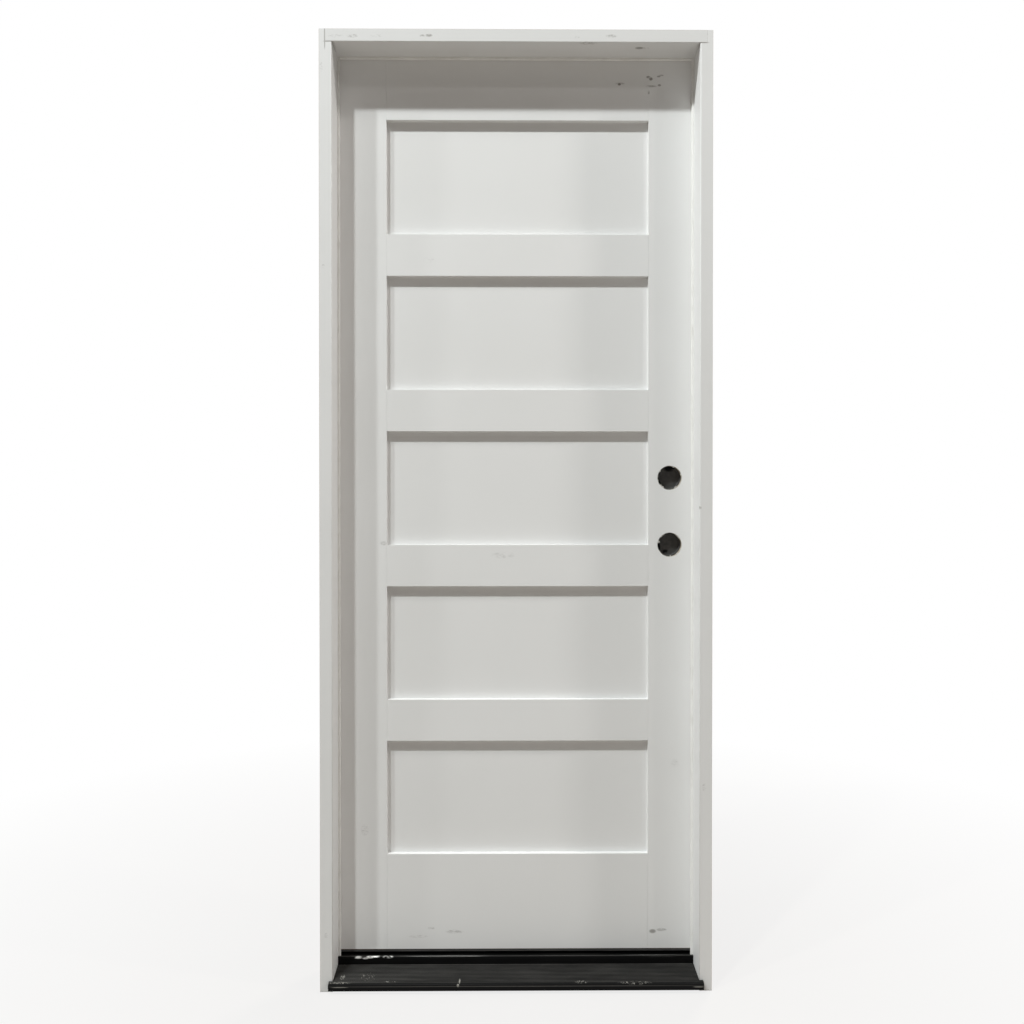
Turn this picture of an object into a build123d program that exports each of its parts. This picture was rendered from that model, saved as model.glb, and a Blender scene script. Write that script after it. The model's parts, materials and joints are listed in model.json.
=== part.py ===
from build123d import *
import os

# Frame: two rabbeted side jambs with a rabbeted head housed in their tops.
frame_width = 844.55
frame_height = 2066.925
jamb_depth = 115.8875
jamb_base = 15.875
stop_proud = 11.1125
arris_radius = 1.6
head_tongue = 12.7
kerf_width = 3.2
kerf_depth = 9.5

# Slab: two stiles, six rails and five flat panels, flush with the inside of the frame.
edge_gap = 3.175
weather_gap = 6.35
slab_thickness = 44.45
hinge_stile_width = 115.8875
lock_stile_width = 107.95
top_rail_height = 144.4625
cross_rail_height = 92.075
bottom_rail_height = 212.725
panel_count = 5
recess_depth = 12.7
groove_depth = 12.7
panel_play = 1.0
tenon_play = 0.5
stile_edge_radius = 1.5

# Lock preparation: two cross bores with edge bores, and their strikes in the jamb.
cross_bore_radius = 26.9875
backset = 60.325
lockset_rise = 903.2875
bore_spacing = 149.225
edge_bore_radius = 12.7
strike_height = 57.15
strike_width = 28.575
strike_sink = 1.6
strike_corner = 6.35

# Seals: foam strips in the jamb kerfs and a finned sweep in kerfs under the slab.
seal_clearance = 0.35
seal_show = 5.5
seal_edge_gap = 0.4
seal_end_gap = 0.3
seal_stem_play = 0.2
seal_round_share = 0.42
sweep_drop = 13.2
sweep_front_share = 0.43
sweep_clearance = 0.35
sweep_skin = 2.4
sweep_fin_width = 2.0
sweep_fin_count = 4
sweep_inset = 0.6
sweep_kerf_width = 3.0
sweep_kerf_depth = 10.0
sweep_kerf_shares = (0.3, 0.7)
sweep_stem_play = 0.15

# Sill: an extruded deck with nosing and riser, on a core block, with a cap under the door.
sill_height = 43.5
sill_end_gap = 0.2
nose_out = 12.7
nose_lift = 7.5
nose_top = 22.2
nose_wall = 3.0
nose_ear = 7.9375
nose_round = 2.4
drip_setback = 1.2
drip_height_share = 0.38
deck_back_rise = 28.3
deck_wall = 2.4
riser_wall = 4.8
ridge_rise = 1.9
ridge_round = 1.6
rib_count = 14
rib_height = 0.8
rib_width = 2.0
rib_flank_share = 0.25
rib_margin = 5.0
cap_seat = 30.0
cap_round = 3.0
core_setback = 2.0

# Butt hinges: two leaves let in flush, five knuckles and a loose pin.
leaf_height = 101.6
leaf_reach = 38.1
leaf_wall = 2.5
leaf_corner = 15.875
leaf_play = 0.1
knuckle_count = 5
knuckle_radius = 6.8
knuckle_gap = 0.25
knuckle_clearance = 0.3
knuckle_stand = 0.7
pin_radius = 3.95
pin_clearance = 0.05
pin_head_radius = 5.6
pin_head_height = 2.6
pin_tip = 2.0
top_hinge_drop = 177.8
bottom_hinge_rise = 279.4

# Screws: countersunk, short ones in the leaves and long ones through the jambs.
leaf_screw_head = 4.4
leaf_screw_sink = 2.2
leaf_screw_shank = 2.2
leaf_screw_cover = 1.2
leaf_screw_height_shares = (-0.36, -0.13, 0.13, 0.36)
leaf_screw_reach_shares = (0.66, 0.36, 0.36, 0.66)
frame_screw_head = 4.8
frame_screw_sink = 2.6
frame_screw_shank = 2.4
frame_screw_length = 63.5
screw_play = 0.1
head_screw_depth_shares = (0.22, 0.78)
sill_screw_depth_shares = (0.3, 0.75)
sill_screw_rise_share = 0.5

# One overrun serves every cut.
cut_overrun = 6.0

quarter_turn = 90

# Planes of the frame. The outside is towards -Y and the hinges are on the -X side.
half_width = frame_width / 2
y_out = -jamb_depth / 2
y_in = jamb_depth / 2
y_stop = y_in - slab_thickness - weather_gap
rabbet_half = half_width - jamb_base
stop_half = rabbet_half - stop_proud
head_rabbet = frame_height - jamb_base
head_soffit = head_rabbet - stop_proud

# Planes of the slab.
slab_half = rabbet_half - edge_gap
slab_in = y_in
slab_out = slab_in - slab_thickness
slab_mid = (slab_in + slab_out) / 2
slab_top = head_rabbet - edge_gap
slab_bottom = sill_height + sweep_clearance + sweep_drop
opening_left = -slab_half + hinge_stile_width
opening_right = slab_half - lock_stile_width
groove_out = slab_out + recess_depth
groove_in = slab_in - recess_depth
rail_count = panel_count - 1
rails_total = top_rail_height + bottom_rail_height + rail_count * cross_rail_height
panel_opening = (slab_top - slab_bottom - rails_total) / panel_count
panel_pitch = panel_opening + cross_rail_height
lockset_z = slab_bottom + lockset_rise
bore_heights = (lockset_z, lockset_z + bore_spacing)
bore_x = slab_half - backset

# Lines of the sill section.
nose_front = y_out - nose_out
riser_front = y_stop - riser_wall
ridge_z = sill_height + ridge_rise
drip_front = nose_front + drip_setback
drip_top = nose_lift + drip_height_share * (nose_top - nose_lift)
deck_slope = (deck_back_rise - nose_top) / (riser_front - nose_front)

# Hinge axis, in the middle of the hinge gap and clear of the inside faces.
hinge_x = -rabbet_half + edge_gap / 2
hinge_y = y_in + knuckle_radius + knuckle_stand
top_hinge_z = slab_top - top_hinge_drop - leaf_height / 2
bottom_hinge_z = slab_bottom + bottom_hinge_rise + leaf_height / 2
hinge_heights = {
    "top": top_hinge_z,
    "middle": (top_hinge_z + bottom_hinge_z) / 2,
    "bottom": bottom_hinge_z,
}
leaf_screw_length = jamb_base - leaf_screw_cover


def block(corner, opposite):
    """A box between two opposite corners, in any order."""
    low = [min(a, b) for a, b in zip(corner, opposite)]
    size = [abs(b - a) for a, b in zip(corner, opposite)]
    return Pos(*low) * Box(*size, align=(Align.MIN, Align.MIN, Align.MIN))


def upright(outline, low, high):
    """An outline in plan, extruded from one height to another."""
    return Pos(0, 0, low) * extrude(make_face(Polyline(*outline, close=True)), high - low)


def lengthwise(section, half_length):
    """A section of (y, z) points, extruded along X to both sides of the middle."""
    face = Plane.YZ * make_face(Polyline(*section, close=True))
    return Pos(-half_length, 0, 0) * extrude(face, half_length + half_length)


def rod_x(radius, start, end, y, z):
    """A round bar along X."""
    bar = Cylinder(radius, end - start, align=(Align.CENTER, Align.CENTER, Align.MIN))
    return Pos(start, y, z) * Rot(0, quarter_turn, 0) * bar


def rod_y(radius, x, start, end, z):
    """A round bar along Y."""
    bar = Cylinder(radius, end - start, align=(Align.CENTER, Align.CENTER, Align.MIN))
    return Pos(x, start, z) * Rot(-quarter_turn, 0, 0) * bar


def rod_z(radius, x, y, start, end):
    """A round bar along Z."""
    bar = Cylinder(radius, end - start, align=(Align.CENTER, Align.CENTER, Align.MIN))
    return Pos(x, y, start) * bar


def ease(solid, axis, places, radius):
    """Rounds the edges along an axis that lie nearest to the given places."""
    edges = [solid.edges().filter_by(axis).sort_by_distance(place)[0] for place in places]
    return fillet(edges, radius)


def countersunk(head, sink, shank, length, direction, place, play=0):
    """A countersunk screw whose head is flush at a place, driven along X in a direction."""
    half_section = [
        (0, 0),
        (head + play, 0),
        (shank + play, -sink),
        (shank + play, -length - play),
        (0, -length - play),
    ]
    turned = revolve(Plane.XZ * make_face(Polyline(*half_section, close=True)), Axis.Z)
    return Pos(*place) * Rot(0, -direction * quarter_turn, 0) * turned


def leaf_screw_places(centre_z):
    """Where the four screws of a leaf sit, as (y, z)."""
    shares = zip(leaf_screw_reach_shares, leaf_screw_height_shares)
    return [(y_in - reach * leaf_reach, centre_z + rise * leaf_height) for reach, rise in shares]


def leaf_screws(face_x, direction, play=0):
    """The screws of one row of leaves, driven from the leaf faces."""
    return [
        countersunk(leaf_screw_head, leaf_screw_sink, leaf_screw_shank, leaf_screw_length,
                    direction, (face_x, y, z), play)
        for centre_z in hinge_heights.values()
        for y, z in leaf_screw_places(centre_z)
    ]


def frame_screws(places, direction, play=0):
    """Long screws driven through a side jamb from its back."""
    return [
        countersunk(frame_screw_head, frame_screw_sink, frame_screw_shank, frame_screw_length,
                    direction, place, play)
        for place in places
    ]


def head_screw_places(side):
    """Where the screws into one end of the head start."""
    height = (frame_height + head_rabbet) / 2
    return [(side * half_width, y_out + share * jamb_depth, height) for share in head_screw_depth_shares]


def sill_screw_places(side):
    """Where the screws into one end of the sill core start."""
    depth = y_in - y_stop
    height = sill_screw_rise_share * cap_seat
    return [(side * half_width, y_stop + share * depth, height) for share in sill_screw_depth_shares]


def leaf_plate(start_x, far_y, near_y, half_height, corner, centre_z, wall):
    """A flat hinge leaf with two round corners on its far edge."""
    outline = [
        (far_y, centre_z - half_height),
        (near_y, centre_z - half_height),
        (near_y, centre_z + half_height),
        (far_y, centre_z + half_height),
    ]
    face = Plane.YZ * make_face(Polyline(*outline, close=True))
    face = fillet(face.vertices().group_by(Axis.Y)[0], corner)
    return Pos(start_x, 0, 0) * extrude(face, wall)


def leaf_mortises(start_x, wall):
    """The recesses for one row of leaves, open at the inside edge."""
    return [
        leaf_plate(start_x, y_in - leaf_reach - leaf_play, y_in + cut_overrun,
                   leaf_height / 2 + leaf_play, leaf_corner + leaf_play, centre_z, wall)
        for centre_z in hinge_heights.values()
    ]


def knuckle_span(index, centre_z, gap):
    """The ends of one knuckle, drawn in by a gap except at the ends of the leaf."""
    pitch = leaf_height / knuckle_count
    low = centre_z - leaf_height / 2 + index * pitch
    high = low + pitch
    if index > 0:
        low += gap
    if index < knuckle_count - 1:
        high -= gap
    return low, high


def hinge_leaf(start_x, first_knuckle, centre_z, screw_x, direction):
    """One leaf: its plate, every second knuckle, clearance round the others and screw holes."""
    leaf = leaf_plate(start_x, y_in - leaf_reach, hinge_y, leaf_height / 2, leaf_corner, centre_z, leaf_wall)
    own = range(first_knuckle, knuckle_count, 2)
    for index in range(knuckle_count):
        if index not in own:
            low, high = knuckle_span(index, centre_z, -knuckle_gap / 2)
            leaf -= rod_z(knuckle_radius + knuckle_clearance, hinge_x, hinge_y, low, high)
    for index in own:
        low, high = knuckle_span(index, centre_z, knuckle_gap / 2)
        leaf += rod_z(knuckle_radius, hinge_x, hinge_y, low, high)
    bore_reach = leaf_height / 2 + cut_overrun
    leaf -= rod_z(pin_radius + pin_clearance, hinge_x, hinge_y, centre_z - bore_reach, centre_z + bore_reach)
    for y, z in leaf_screw_places(centre_z):
        leaf -= countersunk(leaf_screw_head, leaf_screw_sink, leaf_screw_shank, leaf_screw_length,
                            direction, (screw_x, y, z), screw_play)
    return leaf


def hinge_pin(centre_z):
    """A loose pin with a button head that rests on the top knuckle."""
    top = centre_z + leaf_height / 2
    pin = rod_z(pin_radius, hinge_x, hinge_y, centre_z - leaf_height / 2 - pin_tip, top)
    head = rod_z(pin_head_radius, hinge_x, hinge_y, top, top + pin_head_height)
    head = fillet(head.edges().sort_by(Axis.Z)[-1], pin_head_height / 2)
    return pin + head


def side_jamb(side):
    """A side jamb: stop, rabbet, weatherstrip kerf and the housing for the head."""
    kerf_x = side * (rabbet_half - kerf_width)
    outline = [
        (side * half_width, y_out),
        (side * stop_half, y_out),
        (side * stop_half, y_stop),
        (kerf_x, y_stop),
        (kerf_x, y_stop - kerf_depth),
        (side * rabbet_half, y_stop - kerf_depth),
        (side * rabbet_half, y_in),
        (side * half_width, y_in),
    ]
    jamb = upright(outline, 0, frame_height)
    jamb = ease(jamb, Axis.Z, [(side * stop_half, y_out, 0), (side * rabbet_half, y_in, 0)], arris_radius)
    jamb -= block(
        (side * (half_width - head_tongue), y_out - cut_overrun, head_soffit),
        (side * (stop_half - cut_overrun), y_in + cut_overrun, frame_height + cut_overrun),
    )
    screws = frame_screws(head_screw_places(side) + sill_screw_places(side), -side, screw_play)
    return jamb - screws


def hinge_jamb():
    """The jamb that carries the hinge leaves."""
    jamb = side_jamb(-1)
    jamb -= leaf_mortises(-rabbet_half - leaf_wall, leaf_wall + cut_overrun)
    return jamb - leaf_screws(-rabbet_half, -1, screw_play)


def strike_jamb():
    """The jamb with two strike recesses and the bolt holes behind them."""
    jamb = side_jamb(1)
    for z in bore_heights:
        recess = Plane.YZ * Pos(slab_mid, z) * RectangleRounded(strike_width, strike_height, strike_corner)
        jamb -= Pos(rabbet_half - cut_overrun, 0, 0) * extrude(recess, cut_overrun + strike_sink)
        jamb -= rod_x(edge_bore_radius, rabbet_half, half_width + cut_overrun, slab_mid, z)
    return jamb


def head_jamb():
    """The head: the same section as the jambs, let into their tops."""
    section = [
        (y_out, head_soffit),
        (y_stop, head_soffit),
        (y_stop, head_rabbet - kerf_width),
        (y_stop - kerf_depth, head_rabbet - kerf_width),
        (y_stop - kerf_depth, head_rabbet),
        (y_in, head_rabbet),
        (y_in, frame_height),
        (y_out, frame_height),
    ]
    head = lengthwise(section, half_width - head_tongue)
    head = ease(head, Axis.X, [(0, y_out, head_soffit), (0, y_in, head_rabbet)], arris_radius)
    for side in (-1, 1):
        head -= frame_screws(head_screw_places(side), -side, screw_play)
    return head


def side_weatherstrip(side):
    """A foam bulb behind the stop, held by a stem in the jamb kerf."""
    foot = sill_height + seal_end_gap
    inner = side * (stop_half - seal_show)
    outer = side * (rabbet_half - seal_edge_gap)
    face_y = slab_out - seal_clearance
    bulb = block((inner, y_stop, foot), (outer, face_y, head_rabbet - seal_edge_gap))
    places = [(inner, y_stop, foot), (inner, face_y, foot)]
    bulb = ease(bulb, Axis.Z, places, seal_round_share * (face_y - y_stop))
    stem = block(
        (side * (rabbet_half - kerf_width + seal_stem_play), y_stop - kerf_depth + seal_stem_play, foot),
        (side * (rabbet_half - seal_edge_gap), y_stop, head_soffit - seal_end_gap),
    )
    return bulb + stem


def head_weatherstrip():
    """The strip along the head, fitted between the two side strips."""
    half_length = stop_half - seal_show - seal_end_gap
    face_y = slab_out - seal_clearance
    lower = head_soffit - seal_show
    upper = head_rabbet - seal_edge_gap
    bulb = block((-half_length, y_stop, lower), (half_length, face_y, upper))
    places = [(0, y_stop, lower), (0, face_y, lower)]
    bulb = ease(bulb, Axis.X, places, seal_round_share * (face_y - y_stop))
    stem = block(
        (-half_length, y_stop - kerf_depth + seal_stem_play, head_rabbet - kerf_width + seal_stem_play),
        (half_length, y_stop, upper),
    )
    return bulb + stem


def deck_top(y):
    """Height of the sloping deck, between its ribs."""
    return nose_top + deck_slope * (y - nose_front)


def deck_ribs():
    """The points of the anti-slip ribs along the deck, from the nosing to the riser."""
    first = nose_front + rib_margin
    pitch = (riser_front - rib_margin - rib_width - first) / (rib_count - 1)
    flank = rib_flank_share * rib_width
    points = []
    for index in range(rib_count):
        y = first + index * pitch
        points.append((y, deck_top(y)))
        points.append((y + flank, deck_top(y + flank) + rib_height))
        points.append((y + rib_width - flank, deck_top(y + rib_width - flank) + rib_height))
        points.append((y + rib_width, deck_top(y + rib_width)))
    return points


def end_cuts(half_length, front, back):
    """Cuts that shorten a sill piece at both ends between two depths."""
    return [
        block(
            (side * half_length, front, -cut_overrun),
            (side * (half_width + cut_overrun), back, sill_height + cut_overrun),
        )
        for side in (-1, 1)
    ]


def sill_deck():
    """The extrusion: nosing with ears and a set-back drip edge, ribbed deck and riser."""
    under_back = deck_back_rise - deck_wall
    lip = nose_front + nose_wall
    section = [
        (drip_front, nose_lift),
        (drip_front, drip_top),
        (nose_front, drip_top),
        (nose_front, nose_top),
    ]
    section += deck_ribs()
    section += [
        (riser_front, deck_back_rise),
        (riser_front, ridge_z),
        (y_stop, ridge_z),
        (y_stop, under_back),
        (riser_front, under_back),
        (lip, deck_top(lip) - deck_wall),
        (lip, nose_lift),
    ]
    deck = lengthwise(section, stop_half + nose_ear)
    deck = ease(deck, Axis.X, [(0, nose_front, nose_top)], nose_round)
    deck = ease(deck, Axis.X, [(0, riser_front, ridge_z)], ridge_round)
    return deck - end_cuts(stop_half - sill_end_gap, y_out - sill_end_gap, y_stop + cut_overrun)


def sill_core():
    """The block under the deck and the cap, notched round the stops."""
    front = y_out + core_setback
    under_back = deck_back_rise - deck_wall
    section = [
        (front, 0),
        (y_in, 0),
        (y_in, cap_seat),
        (y_stop, cap_seat),
        (y_stop, under_back),
        (riser_front, under_back),
        (front, deck_top(front) - deck_wall),
    ]
    core = lengthwise(section, rabbet_half - sill_end_gap)
    core -= end_cuts(stop_half - sill_end_gap, y_out - cut_overrun, y_stop)
    for side in (-1, 1):
        core -= frame_screws(sill_screw_places(side), -side, screw_play)
    return core


def threshold_cap():
    """The cap that the sweep passes over, seated on the core behind the riser."""
    section = [
        (y_stop, cap_seat),
        (y_in, cap_seat),
        (y_in, sill_height),
        (y_stop, sill_height),
    ]
    cap = lengthwise(section, rabbet_half - sill_end_gap)
    return ease(cap, Axis.X, [(0, y_in, sill_height)], cap_round)


def sweep_kerf_places():
    """Depths of the two kerfs under the slab."""
    return [slab_out + share * slab_thickness for share in sweep_kerf_shares]


def sweep_kerfs():
    """The kerfs, cut right across the foot of the slab."""
    half = sweep_kerf_width / 2
    reach = slab_half + cut_overrun
    return [
        block(
            (-reach, y - half, slab_bottom - cut_overrun),
            (reach, y + half, slab_bottom + sweep_kerf_depth),
        )
        for y in sweep_kerf_places()
    ]


def door_sweep():
    """A skin under the slab with hanging fins, the front one shorter, and two stems in the kerfs."""
    half_length = slab_half - sweep_inset
    front = slab_out + sweep_inset
    back = slab_in - sweep_inset
    sweep = block((-half_length, front, slab_bottom - sweep_skin), (half_length, back, slab_bottom))
    step = (back - front - sweep_fin_width) / (sweep_fin_count - 1)
    for index in range(sweep_fin_count):
        y = front + index * step
        drop = sweep_drop if index else sweep_front_share * sweep_drop
        sweep += block(
            (-half_length, y, slab_bottom - drop),
            (half_length, y + sweep_fin_width, slab_bottom - sweep_skin),
        )
    stem = sweep_kerf_width / 2 - sweep_stem_play
    for y in sweep_kerf_places():
        sweep += block(
            (-half_length, y - stem, slab_bottom),
            (half_length, y + stem, slab_bottom + sweep_kerf_depth - sweep_stem_play),
        )
    return sweep


def stile(outer, inner, groove_floor):
    """A stile with eased outer edges, a panel groove and the sweep kerfs."""
    body = block((outer, slab_out, slab_bottom), (inner, slab_in, slab_top))
    places = [(outer, slab_out, slab_bottom), (outer, slab_in, slab_bottom)]
    body = ease(body, Axis.Z, places, stile_edge_radius)
    mouth = inner + inner - groove_floor
    body -= block(
        (groove_floor, groove_out, slab_bottom - cut_overrun),
        (mouth, groove_in, slab_top + cut_overrun),
    )
    return body - sweep_kerfs()


def hinge_stile():
    """The stile that carries the moving hinge leaves."""
    body = stile(-slab_half, opening_left, opening_left - groove_depth)
    body -= leaf_mortises(-slab_half - cut_overrun, cut_overrun + leaf_wall)
    return body - leaf_screws(-slab_half, 1, screw_play)


def lock_stile():
    """The stile with the cross bores and the edge bores that meet them."""
    body = stile(slab_half, opening_right, opening_right + groove_depth)
    for z in bore_heights:
        body -= rod_y(cross_bore_radius, bore_x, slab_out - cut_overrun, slab_in + cut_overrun, z)
        body -= rod_x(edge_bore_radius, bore_x, slab_half + cut_overrun, slab_mid, z)
    return body


def rail(low, high, panel_above, panel_below):
    """A rail between the stiles, with stub tenons and a groove for each panel that it holds."""
    tenon = groove_depth - tenon_play
    body = block((opening_left, slab_out, low), (opening_right, slab_in, high))
    body += block((opening_left - tenon, groove_out, low), (opening_right + tenon, groove_in, high))
    reach = tenon + cut_overrun
    if panel_above:
        body -= block(
            (opening_left - reach, groove_out, high - groove_depth),
            (opening_right + reach, groove_in, high + cut_overrun),
        )
    if panel_below:
        body -= block(
            (opening_left - reach, groove_out, low - cut_overrun),
            (opening_right + reach, groove_in, low + groove_depth),
        )
    return body


def panel(low, high):
    """A flat panel whose edges float in the grooves round its opening."""
    tongue = groove_depth - panel_play
    return block(
        (opening_left - tongue, groove_out, low - tongue),
        (opening_right + tongue, groove_in, high + tongue),
    )


nodes = {
    "hinge_jamb": hinge_jamb(),
    "strike_jamb": strike_jamb(),
    "head_jamb": head_jamb(),
    "hinge_weatherstrip": side_weatherstrip(-1),
    "strike_weatherstrip": side_weatherstrip(1),
    "head_weatherstrip": head_weatherstrip(),
    "sill_deck": sill_deck(),
    "sill_core": sill_core(),
    "threshold_cap": threshold_cap(),
    "hinge_stile": hinge_stile(),
    "lock_stile": lock_stile(),
    "door_sweep": door_sweep(),
}

# Rails and panels, numbered from the top.
nodes["top_rail"] = rail(slab_top - top_rail_height, slab_top, False, True)
nodes["bottom_rail"] = rail(slab_bottom, slab_bottom + bottom_rail_height, True, False) - sweep_kerfs()
for index in range(panel_count):
    high = slab_top - top_rail_height - index * panel_pitch
    low = high - panel_opening
    nodes[f"panel_{index + 1}"] = panel(low, high)
    if index < rail_count:
        nodes[f"cross_rail_{index + 1}"] = rail(low - cross_rail_height, low, True, True)

# Hinges, from the top down.
for name, centre_z in hinge_heights.items():
    nodes[f"{name}_frame_leaf"] = hinge_leaf(-rabbet_half - leaf_wall, 0, centre_z, -rabbet_half, -1)
    nodes[f"{name}_door_leaf"] = hinge_leaf(-slab_half, 1, centre_z, -slab_half, 1)
    nodes[f"{name}_hinge_pin"] = hinge_pin(centre_z)

# Screws, one group for each place where they are used.
nodes["frame_leaf_screws"] = Compound(children=leaf_screws(-rabbet_half, -1))
nodes["door_leaf_screws"] = Compound(children=leaf_screws(-slab_half, 1))
nodes["head_screws"] = Compound(
    children=[screw for side in (-1, 1) for screw in frame_screws(head_screw_places(side), -side)]
)
nodes["sill_screws"] = Compound(
    children=[screw for side in (-1, 1) for screw in frame_screws(sill_screw_places(side), -side)]
)

os.makedirs("parts", exist_ok=True)
for name, shape in nodes.items():
    export_step(shape, f"parts/{name}.step")
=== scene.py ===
import json
import math

import bmesh
import bpy
from mathutils import Euler, Matrix, Vector, noise


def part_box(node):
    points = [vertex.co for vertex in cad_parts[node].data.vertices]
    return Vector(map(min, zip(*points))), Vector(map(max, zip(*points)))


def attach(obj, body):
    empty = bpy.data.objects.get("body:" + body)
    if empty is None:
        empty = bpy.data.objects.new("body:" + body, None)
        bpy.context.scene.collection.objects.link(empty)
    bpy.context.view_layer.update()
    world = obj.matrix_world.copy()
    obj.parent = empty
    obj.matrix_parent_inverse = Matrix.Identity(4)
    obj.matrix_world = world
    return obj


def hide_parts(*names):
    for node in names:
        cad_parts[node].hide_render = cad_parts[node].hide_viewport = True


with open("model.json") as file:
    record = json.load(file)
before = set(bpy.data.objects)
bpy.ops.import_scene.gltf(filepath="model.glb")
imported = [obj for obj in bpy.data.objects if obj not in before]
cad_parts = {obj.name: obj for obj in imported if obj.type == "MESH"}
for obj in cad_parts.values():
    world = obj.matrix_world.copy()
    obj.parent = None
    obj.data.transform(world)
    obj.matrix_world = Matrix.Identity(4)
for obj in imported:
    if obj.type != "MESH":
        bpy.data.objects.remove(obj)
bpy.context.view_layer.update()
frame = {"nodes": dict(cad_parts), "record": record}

nodes = frame["nodes"]


# Side jambs and head.
# Finger-jointed pine, rabbeted and kerfed, with factory primer brushed thin on the backs.
# The head is housed in the tops of the jambs and screwed through them.
jamb_white = (0.776, 0.774, 0.767)
# The head's white is a darker copy of the jamb white, as painted shade.
head_white_shaded = (0.738, 0.736, 0.729)
jamb_worn = (0.70, 0.695, 0.682)
jamb_thin = (0.58, 0.565, 0.53)
pine_pale = (0.63, 0.47, 0.28)
pine_dark = (0.45, 0.29, 0.14)
# This dark colour serves for real dirt marks and for painted shade in the joints.
grime_and_joint_shade = (0.20, 0.185, 0.165)
upright_grain = (70, 70, 1.6)
level_grain = (1.6, 70, 70)
smear_grain = (160, 160, 420)
blocks_per_metre = 2.9
finger_slope = 9.0
finger_length = 0.035
thin_share = 0.75
end_share = 0.75
mark_core = 0.55
mark_softness = 0.3
jamb_arris = 0.0004
back_skin = 0.0006
primer_relief = 0.00012
seam_gap = 0.00002
sharp_angle = math.radians(40)
square_from, square_full = 0.85, 0.95
strike_x = 0.4140
strike_half = (0.0076, 0.0146, 0.0290)
jamb_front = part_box("hinge_jamb")[0].y
jamb_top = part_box("hinge_jamb")[1].z
jamb_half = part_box("strike_jamb")[1].x
head_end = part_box("head_jamb")[1].x
head_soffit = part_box("head_jamb")[0].z
head_middle = (head_soffit + jamb_top) / 2


def new_finish(name):
    """A material with an empty Principled shader, as (material, tree, shader)."""
    material = bpy.data.materials.new(name)
    material.use_nodes = True
    return material, material.node_tree, material.node_tree.nodes["Principled BSDF"]


def on_piece(tree):
    """Places on the piece, in metres."""
    return tree.nodes.new("ShaderNodeTexCoord").outputs["Object"]


def coordinates(tree, scale=(1, 1, 1), turn=(0, 0, 0)):
    """Places on the piece, stretched or turned so that a pattern runs the way the stock runs."""
    mapping = tree.nodes.new("ShaderNodeMapping")
    mapping.inputs["Scale"].default_value = scale
    mapping.inputs["Rotation"].default_value = turn
    tree.links.new(on_piece(tree), mapping.inputs["Vector"])
    return mapping.outputs["Vector"]


def cloud(tree, vector, scale, detail=3.0, harsh=0.5):
    """A noise between 0 and 1 at the given places."""
    texture = tree.nodes.new("ShaderNodeTexNoise")
    texture.inputs["Scale"].default_value = scale
    texture.inputs["Detail"].default_value = detail
    texture.inputs["Roughness"].default_value = harsh
    tree.links.new(vector, texture.inputs["Vector"])
    return texture.outputs["Fac"]


def remap(tree, value, low, high, to_low=0.0, to_high=1.0):
    """A value taken from one range to another and held there."""
    step = tree.nodes.new("ShaderNodeMapRange")
    step.inputs["From Min"].default_value = low
    step.inputs["From Max"].default_value = high
    step.inputs["To Min"].default_value = to_low
    step.inputs["To Max"].default_value = to_high
    tree.links.new(value, step.inputs["Value"])
    return step.outputs["Result"]


def sums(tree, operation, first, second):
    """Two values, or a value and a number, put together."""
    maths = tree.nodes.new("ShaderNodeMath")
    maths.operation = operation
    for socket, value in zip(maths.inputs, (first, second)):
        if isinstance(value, (int, float)):
            socket.default_value = value
        else:
            tree.links.new(value, socket)
    return maths.outputs["Value"]


def gather(tree, marks):
    """The greatest of several values, so that marks which overlap count once."""
    total = marks[0]
    for other in marks[1:]:
        total = sums(tree, "MAXIMUM", total, other)
    return total


def tint(tree, amount, below, above):
    """One colour over another, by an amount from 0 to 1. A colour is three numbers or a socket."""
    mix = tree.nodes.new("ShaderNodeMix")
    mix.data_type = "RGBA"
    tree.links.new(amount, mix.inputs["Factor"])
    # The colour sockets of this node are its inputs 6 and 7 and its output 2.
    for socket, colour in ((mix.inputs[6], below), (mix.inputs[7], above)):
        if isinstance(colour, tuple):
            socket.default_value = (*colour, 1.0)
        else:
            tree.links.new(colour, socket)
    return mix.outputs[2]


def relief(tree, shader, height, depth):
    """Fine relief on a surface, depth in metres."""
    bump = tree.nodes.new("ShaderNodeBump")
    bump.inputs["Distance"].default_value = depth
    tree.links.new(height, bump.inputs["Height"])
    tree.links.new(bump.outputs["Normal"], shader.inputs["Normal"])


def axes(tree, vector):
    """The X, Y and Z of a place or a direction."""
    split = tree.nodes.new("ShaderNodeSeparateXYZ")
    tree.links.new(vector, split.inputs["Vector"])
    return split.outputs


def facing(tree, axis):
    """How squarely a face looks along an axis of the piece, either way, as 0 or 1."""
    normal = tree.nodes.new("ShaderNodeTexCoord").outputs["Normal"]
    squareness = sums(tree, "ABSOLUTE", axes(tree, normal)[axis], 0)
    return remap(tree, squareness, square_from, square_full)


def place_sums(tree, operation, place, other=(0, 0, 0)):
    """A place and another put together axis by axis, or the length of a place."""
    step = tree.nodes.new("ShaderNodeVectorMath")
    step.operation = operation
    step.inputs[1].default_value = other
    tree.links.new(place, step.inputs[0])
    return step.outputs["Value" if operation == "LENGTH" else "Vector"]


def from_centre(tree, centre, reach):
    """Places on the piece, counted from a centre in shares of a reach along each axis."""
    return place_sums(tree, "DIVIDE", place_sums(tree, "SUBTRACT", on_piece(tree), centre), reach)


def mark(tree, centre, reach, pattern, low, high, depth=1.0):
    """A soft-edged mark round a place, broken up by a pattern and as dark as its depth."""
    distance = place_sums(tree, "LENGTH", from_centre(tree, centre, reach))
    near = remap(tree, distance, 1.0, mark_core, 0.0, depth)
    return sums(tree, "MULTIPLY", near, remap(tree, pattern, low, high))


def soft_marks(tree, pattern, rows):
    """A table of marks as one: centre, reach, where the pattern sets in, and depth."""
    return gather(tree, [
        mark(tree, centre, reach, pattern, low, low + mark_softness, depth)
        for centre, reach, low, depth in rows
    ])


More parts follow.
